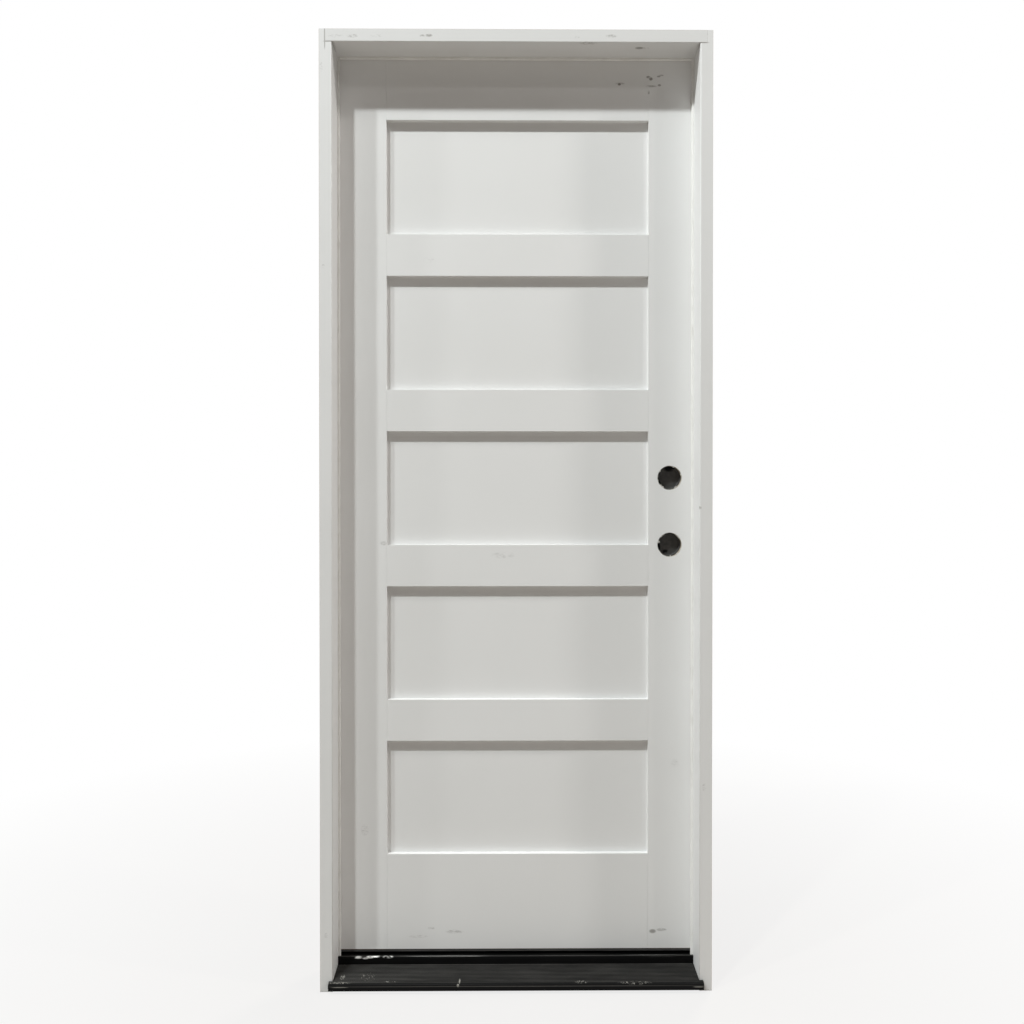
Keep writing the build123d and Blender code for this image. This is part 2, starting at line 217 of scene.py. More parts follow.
def within(tree, centre, half_size):
    """Whether a place lies in a box, as 0 or 1."""
    apart = axes(tree, place_sums(tree, "ABSOLUTE", from_centre(tree, centre, half_size)))
    return sums(tree, "LESS_THAN", gather(tree, [apart["X"], apart["Y"], apart["Z"]]), 1.0)


def primed_pine(name, white, along, long_axis, back_axis, back_limit, scuff_marks_and_joint_shade, routed):
    """Primer over jointed pine: grain along the stock, bare ends and recesses, thin backs."""
    material, tree, shader = new_finish(name)
    grain = cloud(tree, coordinates(tree, along), 1.0, detail=5.0, harsh=0.6)
    patches = cloud(tree, coordinates(tree), 5.0)
    pores = cloud(tree, coordinates(tree), 950.0, detail=2.0)
    smear = cloud(tree, coordinates(tree, smear_grain), 1.0, detail=4.0, harsh=0.65)
    paint = tint(tree, remap(tree, patches, 0.35, 0.75, to_high=0.30), white, jamb_worn)
    paint = tint(tree, remap(tree, grain, 0.45, 0.75, to_high=0.10), paint, jamb_worn)
    wood = tint(tree, remap(tree, grain, 0.35, 0.65), pine_pale, pine_dark)

    # The backs carry thin primer, and some of the jointed blocks show more wood than others.
    place = axes(tree, on_piece(tree))
    outer = sums(tree, "GREATER_THAN", sums(tree, "ABSOLUTE", place[back_axis], 0), back_limit)
    fingers = sums(tree, "PINGPONG", sums(tree, "MULTIPLY", place["Y"], finger_slope), finger_length)
    run = sums(tree, "ADD", sums(tree, "MULTIPLY", place[long_axis], blocks_per_metre), fingers)
    block = tree.nodes.new("ShaderNodeTexWhiteNoise")
    block.noise_dimensions = "1D"
    tree.links.new(sums(tree, "FLOOR", run, 0), block.inputs["W"])
    bareness = sums(tree, "ADD", remap(tree, grain, 0.40, 0.80, 0.02, 0.38),
                    remap(tree, block.outputs["Value"], 0.0, 1.0, to_high=0.16))
    paint = tint(tree, sums(tree, "MULTIPLY", outer, thin_share), paint, jamb_thin)
    paint = tint(tree, sums(tree, "MULTIPLY", outer, bareness), paint, wood)

    # Sawn ends and routed recesses show the wood, handling has left scuff marks, and dark lines in
    # the joints of head and jambs are painted shade.
    ends = sums(tree, "MULTIPLY", facing(tree, long_axis), end_share)
    recesses = [within(tree, centre, half_size) for centre, half_size in routed]
    paint = tint(tree, gather(tree, [ends] + recesses), paint, wood)
    # Scuff marks and the painted joint shade take the darkest colour.
    paint = tint(tree, soft_marks(tree, smear, scuff_marks_and_joint_shade), paint, grime_and_joint_shade)
    tree.links.new(paint, shader.inputs["Base Color"])
    tree.links.new(remap(tree, patches, 0.3, 0.7, 0.52, 0.66), shader.inputs["Roughness"])
    surface = sums(tree, "ADD", sums(tree, "MULTIPLY", grain, 0.7),
                   sums(tree, "MULTIPLY", pores, 0.3))
    relief(tree, shader, surface, primer_relief)
    return material


def ease_edges(piece, width):
    """Rounds the sharp edges of a sawn piece a little, as sanding and paint do."""
    weld = piece.modifiers.new("one_skin", "WELD")
    weld.merge_threshold = seam_gap
    bevel = piece.modifiers.new("eased_edges", "BEVEL")
    bevel.width = width
    bevel.segments = 2
    bevel.limit_method = "ANGLE"
    bevel.angle_limit = sharp_angle
    bevel.harden_normals = True


def coat(piece, material):
    """Gives a piece one finish all over."""
    piece.data.materials.clear()
    piece.data.materials.append(material)


# Each scuff or painted joint shade: its centre, its reach, where the smear sets in, and its depth.
upright_scuff_marks_and_joint_shade = (
    ((-0.4094, jamb_front, 0.121), (0.005, 0.003, 0.008), 0.44, 0.40),
    ((-0.4170, jamb_front, 1.985), (0.004, 0.003, 0.012), 0.46, 0.70),
    ((-0.4130, jamb_front, 1.560), (0.004, 0.003, 0.006), 0.46, 0.50),
    ((0.3965, jamb_front + 0.004, 1.043), (0.004, 0.006, 0.005), 0.20, 0.60),
    ((0.4050, jamb_front, 0.440), (0.006, 0.003, 0.010), 0.46, 0.50),
    # The rows from here on are painted shade: dark lines in the gaps where head and jambs meet, one
    # reaching below the soffit.
    ((-head_end, jamb_front, head_soffit - 0.004), (0.0016, 0.004, 0.016), 0.10, 0.55),
    ((-head_end, jamb_front, head_middle), (0.0020, 0.060, 0.034), 0.10, 0.55),
    ((head_end, jamb_front, head_middle), (0.0009, 0.060, 0.024), 0.30, 0.50),
    ((-0.4020, jamb_front, head_soffit), (0.014, 0.060, 0.0016), 0.10, 0.55),
    ((0.4020, jamb_front, head_soffit), (0.014, 0.060, 0.0018), 0.10, 0.55),
)
head_scuff_marks_and_joint_shade = (
    ((-0.385, jamb_front, 2.0515), (0.020, 0.003, 0.004), 0.46, 0.55),
    ((-0.351, jamb_front, 2.0515), (0.014, 0.003, 0.005), 0.42, 0.65),
    ((-0.300, jamb_front, 2.0520), (0.016, 0.003, 0.004), 0.48, 0.60),
    ((-0.201, jamb_front, 2.0525), (0.007, 0.003, 0.003), 0.34, 0.60),
    ((-0.187, jamb_front, 2.0530), (0.009, 0.003, 0.004), 0.30, 0.75),
    ((0.130, jamb_front, 2.0500), (0.008, 0.003, 0.003), 0.42, 0.35),
    ((0.204, jamb_front, 2.0530), (0.015, 0.003, 0.004), 0.36, 0.60),
    ((0.267, -0.034, head_soffit), (0.011, 0.006, 0.002), 0.16, 0.75),
    ((0.276, -0.034, head_soffit), (0.016, 0.004, 0.002), 0.40, 0.50),
    ((0.155, jamb_front + 0.004, head_soffit), (0.022, 0.008, 0.002), 0.38, 0.55),
    # The rows from here on are painted shade in the gaps where head and jambs meet.
    ((-head_end, jamb_front, head_middle), (0.0014, 0.060, 0.034), 0.10, 0.55),
    ((-0.4020, jamb_front, head_soffit), (0.014, 0.060, 0.0012), 0.10, 0.55),
    ((0.4020, jamb_front, head_soffit), (0.014, 0.060, 0.0012), 0.10, 0.55),
)
bores = {mount["name"]: mount["pos_m"] for mount in frame["record"]["mounts"]}
strikes = [
    ((strike_x, bores[name][1], bores[name][2]), strike_half)
    for name in ("latch_strike", "bolt_strike")
]
jamb_primer = primed_pine("jamb_primer", jamb_white, upright_grain, "Z", "X", jamb_half - back_skin,
                          upright_scuff_marks_and_joint_shade, strikes)
# The head takes the darker copy of the primer, as painted shade.
head_primer_shaded = primed_pine("head_primer_shaded", head_white_shaded, level_grain, "X", "Z", jamb_top - back_skin,
                          head_scuff_marks_and_joint_shade, [])
for name, primer in (("hinge_jamb", jamb_primer), ("strike_jamb", jamb_primer),
                     ("head_jamb", head_primer_shaded)):
    coat(nodes[name], primer)
    ease_edges(nodes[name], jamb_arris)


# Frame screws.
# Zinc-plated wood screws with cross recesses, driven through the jamb backs.
# Four hold the head and four hold the sill; each lies flush in its countersink.
zinc_bright = (0.62, 0.60, 0.54)
zinc_dull = (0.42, 0.40, 0.36)
frame_screw = {"head": 0.0048, "sink": 0.0026, "shank": 0.0024, "length": 0.0635}


def bridge(shape, lower, upper):
    """Closes the wall between two rings of points."""
    for index in range(len(lower)):
        after = (index + 1) % len(lower)
        shape.faces.new((lower[index], lower[after], upper[after], upper[index]))


def made_piece(name, shape, material):
    """Puts a finished shape into the scene as one coated piece."""
    bmesh.ops.recalc_face_normals(shape, faces=shape.faces)
    mesh = bpy.data.meshes.new(name)
    shape.to_mesh(mesh)
    shape.free()
    piece = bpy.data.objects.new(name, mesh)
    bpy.context.scene.collection.objects.link(piece)
    coat(piece, material)
    return piece


def screw_shape(shape, place, direction, head, sink, shank, length):
    """Adds one countersunk screw with a cross recess, head flush at a place, driven along X."""
    turns = 24
    arm = head * 0.62
    wing = head * 0.15
    recess_depth = sink * 0.8
    recess_taper = 0.7
    tip_radius = shank * 0.15
    cross = [(arm, wing), (wing, wing), (wing, arm), (-wing, arm), (-wing, wing), (-arm, wing),
             (-arm, -wing), (-wing, -wing), (-wing, -arm), (wing, -arm), (wing, -wing), (arm, -wing)]
    # Every screw stops at an angle of its own, taken from its place.
    stopped_at = Matrix.Rotation(place[1] * 97.0 + place[2] * 31.0, 2)
    cross = [stopped_at @ Vector(corner) for corner in cross]

    def at(drop, across, up):
        return shape.verts.new((place[0] + direction * drop, place[1] + across, place[2] + up))

    def ring(drop, radius):
        angles = [2 * math.pi * index / turns for index in range(turns)]
        return [at(drop, radius * math.cos(angle), radius * math.sin(angle)) for angle in angles]

    rim = ring(0, head)
    neck = ring(sink, shank)
    taper = ring(length - shank, shank)
    tip = ring(length, tip_radius)
    for lower, upper in ((rim, neck), (neck, taper), (taper, tip)):
        bridge(shape, lower, upper)
    shape.faces.new(tip)
    mouth = [at(0, across, up) for across, up in cross]
    floor = [at(recess_depth, across * recess_taper, up * recess_taper) for across, up in cross]
    bridge(shape, mouth, floor)
    shape.faces.new(floor)
    # The face of the head lies between its rim and the mouth of the recess.
    edges = []
    for loop in (rim, mouth):
        for index in range(len(loop)):
            edges.append(shape.edges.get((loop[index], loop[(index + 1) % len(loop)])))
    bmesh.ops.triangle_fill(shape, edges=edges, use_beauty=True)


def drive_screws(node, places, directions, sizes, body, material):
    """A set of like screws that stands for one CAD group."""
    shape = bmesh.new()
    for place, direction in zip(places, directions):
        screw_shape(shape, place, direction, **sizes)
    piece = made_piece(f"{node}_driven", shape, material)
    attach(piece, body)
    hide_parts(node)


def plating(name, bright, dull):
    """Plated steel: smeary bright plating with fine turning marks."""
    material, tree, shader = new_finish(name)
    smear = cloud(tree, coordinates(tree), 240.0, detail=4.0)
    fine = cloud(tree, coordinates(tree), 2600.0, detail=2.0)
    colour = tint(tree, remap(tree, smear, 0.3, 0.7), bright, dull)
    tree.links.new(colour, shader.inputs["Base Color"])
    shader.inputs["Metallic"].default_value = 1.0
    tree.links.new(remap(tree, fine, 0.3, 0.7, 0.28, 0.46), shader.inputs["Roughness"])
    relief(tree, shader, fine, 0.00003)
    return material


frame_zinc = plating("frame_screw_zinc", zinc_bright, zinc_dull)
for name in ("head_screws", "sill_screws"):
    low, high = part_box(name)
    depths = (low.y + frame_screw["head"], high.y - frame_screw["head"])
    places = [(side * jamb_half, y, (low.z + high.z) / 2) for side in (-1, 1) for y in depths]
    directions = [-math.copysign(1, place[0]) for place in places]
    drive_screws(name, places, directions, frame_screw, "frame", frame_zinc)


# Sill core.
# A dark moulded composite block that carries the deck and the cap, screwed between the jambs.
core_dark = (0.085, 0.078, 0.070)
core_pale = (0.135, 0.125, 0.112)

core_finish, tree, shader = new_finish("sill_composite")
flecks = cloud(tree, coordinates(tree, (180, 420, 420)), 1.0)
core_colour = tint(tree, remap(tree, flecks, 0.4, 0.7), core_dark, core_pale)
tree.links.new(core_colour, shader.inputs["Base Color"])
shader.inputs["Roughness"].default_value = 0.72
relief(tree, shader, flecks, 0.0002)
coat(nodes["sill_core"], core_finish)


# Sill deck.
# One aluminium extrusion, ribbed along its length and black anodised, folded over the core.
# Its ridge is scraped to bare metal at the hinge end, a painted highlight runs along the rest of the
# ridge and along the nosing face, and paint specks lie along the nosing.
anodised = (0.0035, 0.0035, 0.0035)
# This grey serves for dust and for the painted highlight on the nosing.
anodised_dust_and_highlight = (0.070, 0.0675, 0.0635)
# This bright metal serves for the scrapes and for the painted ridge highlight.
bare_metal_and_highlight = (0.86, 0.85, 0.82)
paint_speck = (0.28, 0.27, 0.245)
deck_arris = 0.0002
gouge_slant = math.radians(14)
nosing_edge, deck_edge = -0.0672, -0.0650
dusty_end, trodden_part = -0.36, -0.10
trodden_dust = 0.66
ridge_round = 0.0005
deck_low, deck_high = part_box("sill_deck")
ridge_y = deck_high.y
ridge_z = deck_high.z - ridge_round

deck_finish, tree, shader = new_finish("sill_metal")
drawn = cloud(tree, coordinates(tree, (3, 500, 500)), 1.0, detail=4.0, harsh=0.6)
dust = cloud(tree, coordinates(tree, (9, 60, 60)), 1.0, detail=5.0, harsh=0.65)
specks = cloud(tree, coordinates(tree), 420.0, detail=1.0)
gouge = cloud(tree, coordinates(tree, (90, 90, 620), (0, gouge_slant, 0)), 1.0, detail=2.0)
# Dust lies on the level faces behind the nosing, thickest at the hinge end; where it stops at the
# deck's front edge, a dark line is left as painted shadow.
deck_place = axes(tree, on_piece(tree))
dust_and_highlight = sums(tree, "MULTIPLY", facing(tree, "Z"), remap(tree, dust, 0.30, 0.70, to_low=0.35))
dust_and_highlight = sums(tree, "MULTIPLY", dust_and_highlight, remap(tree, deck_place["Y"], nosing_edge, deck_edge))
kept_dust = remap(tree, deck_place["X"], dusty_end, trodden_part, 1.0, trodden_dust)
dust_and_highlight = sums(tree, "MULTIPLY", dust_and_highlight, kept_dust)
# A grey line along the nosing face is a painted highlight.
nosing_highlight = mark(tree, (0.0, deck_low.y, 0.0178), (0.60, 0.004, 0.0014), drawn, 0.30, 0.55)
dust_and_highlight = sums(tree, "MAXIMUM", dust_and_highlight, nosing_highlight)
# Each mark: its centre, its reach, its pattern, and where the pattern sets in and is full.
scrapes_and_ridge_highlight = gather(tree, [mark(tree, *row) for row in (
    ((-0.350, ridge_y - 0.004, ridge_z - 0.0015), (0.010, 0.006, 0.0028), gouge, 0.36, 0.46),
    ((-0.334, ridge_y - 0.005, ridge_z - 0.0030), (0.008, 0.006, 0.0024), gouge, 0.34, 0.44),
    ((-0.324, ridge_y - 0.004, ridge_z - 0.0008), (0.010, 0.006, 0.0030), gouge, 0.34, 0.44),
    ((-0.312, ridge_y - 0.002, ridge_z), (0.011, 0.005, 0.0026), gouge, 0.36, 0.46),
    ((-0.284, ridge_y - 0.004, ridge_z - 0.0005), (0.013, 0.006, 0.0030), gouge, 0.46, 0.56),
    # These two long rows are a painted highlight along the ridge.
    ((-0.150, ridge_y - 0.003, ridge_z), (0.120, 0.006, 0.0025), drawn, 0.56, 0.74),
    ((0.310, ridge_y - 0.003, ridge_z), (0.090, 0.006, 0.0025), drawn, 0.60, 0.80),
)])
splashes = gather(tree, [mark(tree, *row) for row in (
    ((-0.381, -0.0640, 0.0232), (0.030, 0.0035, 0.004), specks, 0.48, 0.56),
    ((-0.378, -0.0715, 0.0165), (0.022, 0.0030, 0.0012), drawn, 0.30, 0.60),
    ((-0.3765, -0.0440, 0.0245), (0.0060, 0.0110, 0.004), specks, 0.50, 0.58),
    ((-0.322, -0.0420, 0.0245), (0.022, 0.0200, 0.004), specks, 0.655, 0.68),
    ((-0.272, -0.0600, 0.0232), (0.016, 0.0060, 0.004), specks, 0.64, 0.68),
    ((0.140, -0.0640, 0.0230), (0.016, 0.0050, 0.004), specks, 0.54, 0.64),
    ((0.256, -0.0660, 0.0225), (0.040, 0.0060, 0.004), specks, 0.56, 0.66),
    ((0.392, -0.0715, 0.0150), (0.016, 0.0030, 0.0016), drawn, 0.30, 0.60),
    ((-0.122, -0.0600, 0.0235), (0.0020, 0.0110, 0.003), specks, 0.00, 0.10),
    ((-0.125, -0.0705, 0.0200), (0.0030, 0.0030, 0.004), specks, 0.00, 0.10),
)])
metal = tint(tree, dust_and_highlight, anodised, anodised_dust_and_highlight)
metal = tint(tree, remap(tree, drawn, 0.50, 0.80, to_high=0.08), metal, anodised_dust_and_highlight)
metal = tint(tree, scrapes_and_ridge_highlight, metal, bare_metal_and_highlight)
metal = tint(tree, splashes, metal, paint_speck)
tree.links.new(metal, shader.inputs["Base Color"])
tree.links.new(remap(tree, scrapes_and_ridge_highlight, 0.0, 1.0, to_high=0.6), shader.inputs["Metallic"])
tree.links.new(remap(tree, dust, 0.3, 0.7, 0.38, 0.55), shader.inputs["Roughness"])
shader.inputs["Specular IOR Level"].default_value = 0.08
relief(tree, shader, drawn, 0.00006)
coat(nodes["sill_deck"], deck_finish)
ease_edges(nodes["sill_deck"], deck_arris)


# Threshold cap.
# Black composite strip on the core behind the riser, which the sweep passes over.
# This black is set darker than the composite itself, as painted shade under the sweep.
cap_black_shaded = (0.0035, 0.0035, 0.0035)
cap_scuffed = (0.012, 0.0115, 0.011)
cap_arris = 0.0004

cap_finish, tree, shader = new_finish("cap_composite")
rubbed = cloud(tree, coordinates(tree, (6, 90, 90)), 1.0, detail=5.0, harsh=0.65)
cap_colour = tint(tree, remap(tree, rubbed, 0.5, 0.8), cap_black_shaded, cap_scuffed)
tree.links.new(cap_colour, shader.inputs["Base Color"])
tree.links.new(remap(tree, rubbed, 0.3, 0.7, 0.36, 0.58), shader.inputs["Roughness"])
shader.inputs["Specular IOR Level"].default_value = 0.08
relief(tree, shader, cloud(tree, coordinates(tree), 1400.0, detail=2.0), 0.00006)
coat(nodes["threshold_cap"], cap_finish)
ease_edges(nodes["threshold_cap"], cap_arris)


# Weatherstrips.
# Soft foam in a smooth off-white skin, pushed by a stem into the kerf behind each stop.
foam_pale = (0.82, 0.812, 0.79)
foam_soiled = (0.72, 0.708, 0.68)

foam_finish, tree, shader = new_finish("foam_seal")
soft = cloud(tree, coordinates(tree), 38.0, detail=4.0)
skin = cloud(tree, coordinates(tree), 700.0, detail=2.0)
foam_colour = tint(tree, remap(tree, soft, 0.45, 0.85), foam_pale, foam_soiled)
tree.links.new(foam_colour, shader.inputs["Base Color"])
shader.inputs["Roughness"].default_value = 0.62
relief(tree, shader, sums(tree, "ADD", soft, sums(tree, "MULTIPLY", skin, 0.2)), 0.0002)
for name in ("hinge_weatherstrip", "strike_weatherstrip", "head_weatherstrip"):
    coat(nodes[name], foam_finish)


# Hinges.
# Three steel butts in satin nickel: leaves let in flush, five knuckles and a loose pin each.
# Cross-recess screws hold the leaves to the jamb and to the stile.
nickel = (0.46, 0.445, 0.42)
nickel_dark = (0.33, 0.32, 0.30)
hinge_arris = 0.0003
hinge_screw = {"head": 0.0044, "sink": 0.0022, "shank": 0.0022, "length": 0.014675}
screw_rises = (-0.36, -0.13, 0.13, 0.36)
screw_reaches = (0.66, 0.36, 0.36, 0.66)
jamb_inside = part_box("hinge_jamb")[1].y

nickel_finish, tree, shader = new_finish("hinge_nickel")
brushed = cloud(tree, coordinates(tree, (900, 900, 14)), 1.0, detail=4.0, harsh=0.6)
handled = cloud(tree, coordinates(tree), 60.0, detail=4.0)
nickel_colour = tint(tree, remap(tree, handled, 0.3, 0.75), nickel, nickel_dark)
tree.links.new(nickel_colour, shader.inputs["Base Color"])
shader.inputs["Metallic"].default_value = 1.0
tree.links.new(remap(tree, brushed, 0.3, 0.7, 0.30, 0.48), shader.inputs["Roughness"])
relief(tree, shader, brushed, 0.00003)
leaf_holes = []
for row in ("top", "middle", "bottom"):
    low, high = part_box(f"{row}_frame_leaf")
    leaf_reach = jamb_inside - low.y
    leaf_height = high.z - low.z
    leaf_middle = (low.z + high.z) / 2
    for share, rise in zip(screw_reaches, screw_rises):
        leaf_holes.append((jamb_inside - share * leaf_reach, leaf_middle + rise * leaf_height))
    for piece in ("frame_leaf", "door_leaf", "hinge_pin"):
        coat(nodes[f"{row}_{piece}"], nickel_finish)
        ease_edges(nodes[f"{row}_{piece}"], hinge_arris)
hinge_plating = plating("hinge_screw_plating", nickel, nickel_dark)
for name, body, direction in (("frame_leaf_screws", "frame", -1), ("door_leaf_screws", "door", 1)):
    low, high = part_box(name)
    leaf_face = high.x if direction < 0 else low.x
    places = [(leaf_face, y, z) for y, z in leaf_holes]
    drive_screws(name, places, [direction] * len(places), hinge_screw, body, hinge_plating)


# Stiles, rails and panels.
# A five-panel shaker slab: square-edged frame members grooved round flat panels, primed smooth.
# Handling has left a few grey rubs on the outside.
door_white = (0.812, 0.810, 0.804)
door_thin = (0.747, 0.743, 0.732)
bore_pale = (0.60, 0.55, 0.47)
bore_dark = (0.46, 0.40, 0.32)
member_arris = 0.0005
slab_skin = 0.0003
slab_end_share = 0.8
stile_inside = 0.314
cross_bore_wall = 0.02708
edge_bore_wall = 0.01278
door_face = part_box("lock_stile")[0].y
slab_low, slab_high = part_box("hinge_stile")


def drilled(tree, centre, across, radius):
    """Whether a place in the lock stile lies on the wall of a bore, as 0 or 1."""
    offset = place_sums(tree, "SUBTRACT", on_piece(tree), centre)
    distance = place_sums(tree, "LENGTH", place_sums(tree, "MULTIPLY", offset, across))
    in_stile = sums(tree, "GREATER_THAN", axes(tree, on_piece(tree))["X"], stile_inside)
    return sums(tree, "MULTIPLY", in_stile, sums(tree, "LESS_THAN", distance, radius))


door_finish, tree, shader = new_finish("door_primer")
drift = cloud(tree, coordinates(tree), 2.6)
rolled = cloud(tree, coordinates(tree), 520.0)
rub = cloud(tree, coordinates(tree, (120, 120, 300)), 1.0, detail=5.0, harsh=0.7)
stock = cloud(tree, coordinates(tree, (90, 90, 9)), 1.0, detail=4.0)
paint = tint(tree, remap(tree, drift, 0.35, 0.75, to_high=0.45), door_white, door_thin)
rubs = soft_marks(tree, rub, (
    ((0.230, door_face, 1.984), (0.0046, 0.003, 0.0034), 0.05, 1.00),
    ((0.231, door_face, 1.9855), (0.0130, 0.003, 0.0030), 0.34, 0.55),
    ((0.2945, door_face, 2.000), (0.0060, 0.003, 0.0032), 0.20, 0.80),
    ((0.3000, door_face, 1.996), (0.0050, 0.003, 0.0044), 0.12, 0.90),
    ((0.3175, door_face, 2.0015), (0.0050, 0.003, 0.0024), 0.20, 0.70),
    ((0.3235, door_face, 2.0040), (0.0060, 0.003, 0.0022), 0.25, 0.65),
    ((0.301, door_face, 1.980), (0.0140, 0.003, 0.0026), 0.30, 0.85),
    ((0.3190, door_face, 1.982), (0.0046, 0.003, 0.0032), 0.16, 0.80),
    ((0.2955, door_face, 1.966), (0.0026, 0.003, 0.0050), 0.20, 0.55),
    ((-0.029, door_face, 0.937), (0.030, 0.003, 0.009), 0.44, 0.35),
    ((-0.191, door_face, 1.593), (0.018, 0.003, 0.008), 0.48, 0.20),
    ((-0.294, door_face, 0.964), (0.010, 0.003, 0.006), 0.40, 0.50),
    ((-0.337, door_face, 0.324), (0.010, 0.003, 0.014), 0.44, 0.50),
    ((0.356, door_face, 0.472), (0.011, 0.003, 0.010), 0.44, 0.22),
    ((0.395, door_face, 0.687), (0.007, 0.003, 0.012), 0.44, 0.50),
    ((-0.189, door_face, 0.1035), (0.009, 0.003, 0.0035), 0.36, 0.45),
    ((-0.137, door_face, 0.0955), (0.022, 0.003, 0.0050), 0.42, 0.65),
    ((-0.218, door_face, 0.0850), (0.024, 0.003, 0.0045), 0.44, 0.35),
    ((0.306, door_face, 0.0950), (0.009, 0.003, 0.0056), 0.12, 0.75),
    ((0.326, door_face, 0.0985), (0.013, 0.003, 0.0040), 0.30, 0.70),
))
paint = tint(tree, rubs, paint, grime_and_joint_shade)
height = axes(tree, on_piece(tree))["Z"]
top_edge = sums(tree, "GREATER_THAN", height, slab_high.z - slab_skin)
foot_edge = sums(tree, "LESS_THAN", height, slab_low.z + slab_skin)
bare = sums(tree, "MULTIPLY", sums(tree, "MAXIMUM", top_edge, foot_edge), slab_end_share)
end_wood = tint(tree, remap(tree, stock, 0.35, 0.65), pine_pale, pine_dark)
paint = tint(tree, bare, paint, end_wood)
walls = gather(tree, [drilled(tree, bores[name], across, radius) for name, across, radius in (
    ("lockset_bore", (1, 0, 1), cross_bore_wall),
    ("deadbolt_bore", (1, 0, 1), cross_bore_wall),
    ("latch_bore", (0, 1, 1), edge_bore_wall),
    ("bolt_bore", (0, 1, 1), edge_bore_wall),
)])
bore_wood = tint(tree, remap(tree, stock, 0.35, 0.65), bore_pale, bore_dark)
tree.links.new(tint(tree, walls, paint, bore_wood), shader.inputs["Base Color"])
tree.links.new(remap(tree, drift, 0.3, 0.7, 0.46, 0.58), shader.inputs["Roughness"])
relief(tree, shader, sums(tree, "ADD", rolled, sums(tree, "MULTIPLY", drift, 0.5)), 0.00008)
slab_pieces = ["hinge_stile", "lock_stile", "top_rail", "bottom_rail"]
slab_pieces += [f"cross_rail_{number}" for number in range(1, 5)]
slab_pieces += [f"panel_{number}" for number in range(1, 6)]
for name in slab_pieces:
    coat(nodes[name], door_finish)
    ease_edges(nodes[name], member_arris)


# Bore shade discs.
# Dark discs set half way into the two open lock bores, as painted shade for the dark seen through
# them.
# Torn fibres stand round the rims where the bores were cut.
shade_disc_black = (0.064, 0.063, 0.062)
shade_disc_grey = (0.105, 0.103, 0.100)
painted_shadow_black = (0.002, 0.002, 0.002)
fibre_pale = (0.72, 0.71, 0.68)
fibre_dark = (0.34, 0.31, 0.27)
bore_radius = 0.0269875
shade_disc_radius = bore_radius - 0.0002
shade_disc_depth = 0.013
shade_disc_floor = 0.019
shade_disc_ease = 0.0004
shade_disc_lip = shade_disc_radius - 0.0022
shade_disc_wall = shade_disc_radius - 0.0030
shade_disc_foot = shade_disc_radius - 0.0042
shade_disc_fillet = 0.0010
shade_disc_gate = 0.0006
tear_depth = 0.0006
tear_thickness = 0.0012
tear_reach = 0.0075
tear_least = 0.00012
tear_back_share = 0.6
tear_clearance = 0.00005
tear_ring = 6
tear_waves = ((0.35, 0.7), (1.0, 0.5), (5.0, 0.35))
door_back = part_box("lock_stile")[1].y


def ring_in_bore(shape, centre, depth, radii):
    """One ring of points about the Y axis of a bore, with a radius for each point."""
    points = []
    for index, radius in enumerate(radii):
        angle = 2 * math.pi * index / len(radii)
        points.append(shape.verts.new((centre[0] + radius * math.cos(angle), depth,
                                       centre[1] + radius * math.sin(angle))))
    return points


def turned_shape(profile, centre, turns=48):
    """A round shape turned about the Y axis from (radius, depth) points and closed at both ends."""
    shape = bmesh.new()
    rings = [ring_in_bore(shape, centre, depth, [radius] * turns) for radius, depth in profile]
    for first, second in zip(rings, rings[1:]):
        bridge(shape, first, second)
    shape.faces.new(rings[0])
    shape.faces.new(rings[-1])
    return shape


def torn_shape(centre, seed, turns=120):
    """A ragged ring of fibres inside the mouth of a bore."""
    shape = bmesh.new()
    tufts = []
    for index in range(turns):
        angle = 2 * math.pi * index / turns
        place = Vector((math.cos(angle) * tear_ring, math.sin(angle) * tear_ring, seed))
        swell = sum(share * noise.noise(place * pitch) for pitch, share in tear_waves)
        tufts.append(max(0.0, swell) * tear_reach + tear_least)
    front = door_face + tear_depth
    back = front + tear_thickness
    rings = []
    for depth, share in ((front, 0.0), (front, 1.0), (back, tear_back_share), (back, 0.0)):
        radii = [bore_radius - tear_clearance - tuft * share for tuft in tufts]
        rings.append(ring_in_bore(shape, centre, depth, radii))
    for first, second in zip(rings, rings[1:] + rings[:1]):
        bridge(shape, first, second)
    return shape


# The discs' dark grey and black are painted shade for the open bores.
shade_disc_finish, tree, shader = new_finish("bore_shade_disc")
film = cloud(tree, coordinates(tree), 110.0, detail=4.0)
upper_x, upper_y, upper_z = bores["deadbolt_bore"]
lower_x, lower_y, lower_z = bores["lockset_bore"]
# Near-black patches on the discs are painted shadow.
painted_bore_shadows = gather(tree, [mark(tree, *row) for row in (
    ((upper_x + 0.001, upper_y, upper_z + 0.022), (0.0150, 0.060, 0.0110), film, 0.05, 0.30),
    ((upper_x - 0.022, upper_y, upper_z - 0.010), (0.0060, 0.060, 0.0120), film, 0.40, 0.50),
    ((lower_x - 0.006, lower_y, lower_z - 0.016), (0.0100, 0.060, 0.0060), film, 0.42, 0.50),
    ((lower_x - 0.021, lower_y, lower_z - 0.006), (0.0050, 0.060, 0.0130), film, 0.42, 0.50),
)])
shade_disc_colour = tint(tree, remap(tree, film, 0.35, 0.75), shade_disc_black, shade_disc_grey)
shade_disc_colour = tint(tree, painted_bore_shadows, shade_disc_colour, painted_shadow_black)
tree.links.new(shade_disc_colour, shader.inputs["Base Color"])
tree.links.new(remap(tree, film, 0.3, 0.7, 0.50, 0.70), shader.inputs["Roughness"])
shader.inputs["Specular IOR Level"].default_value = 0.1
relief(tree, shader, cloud(tree, coordinates(tree), 1600.0, detail=2.0), 0.00005)

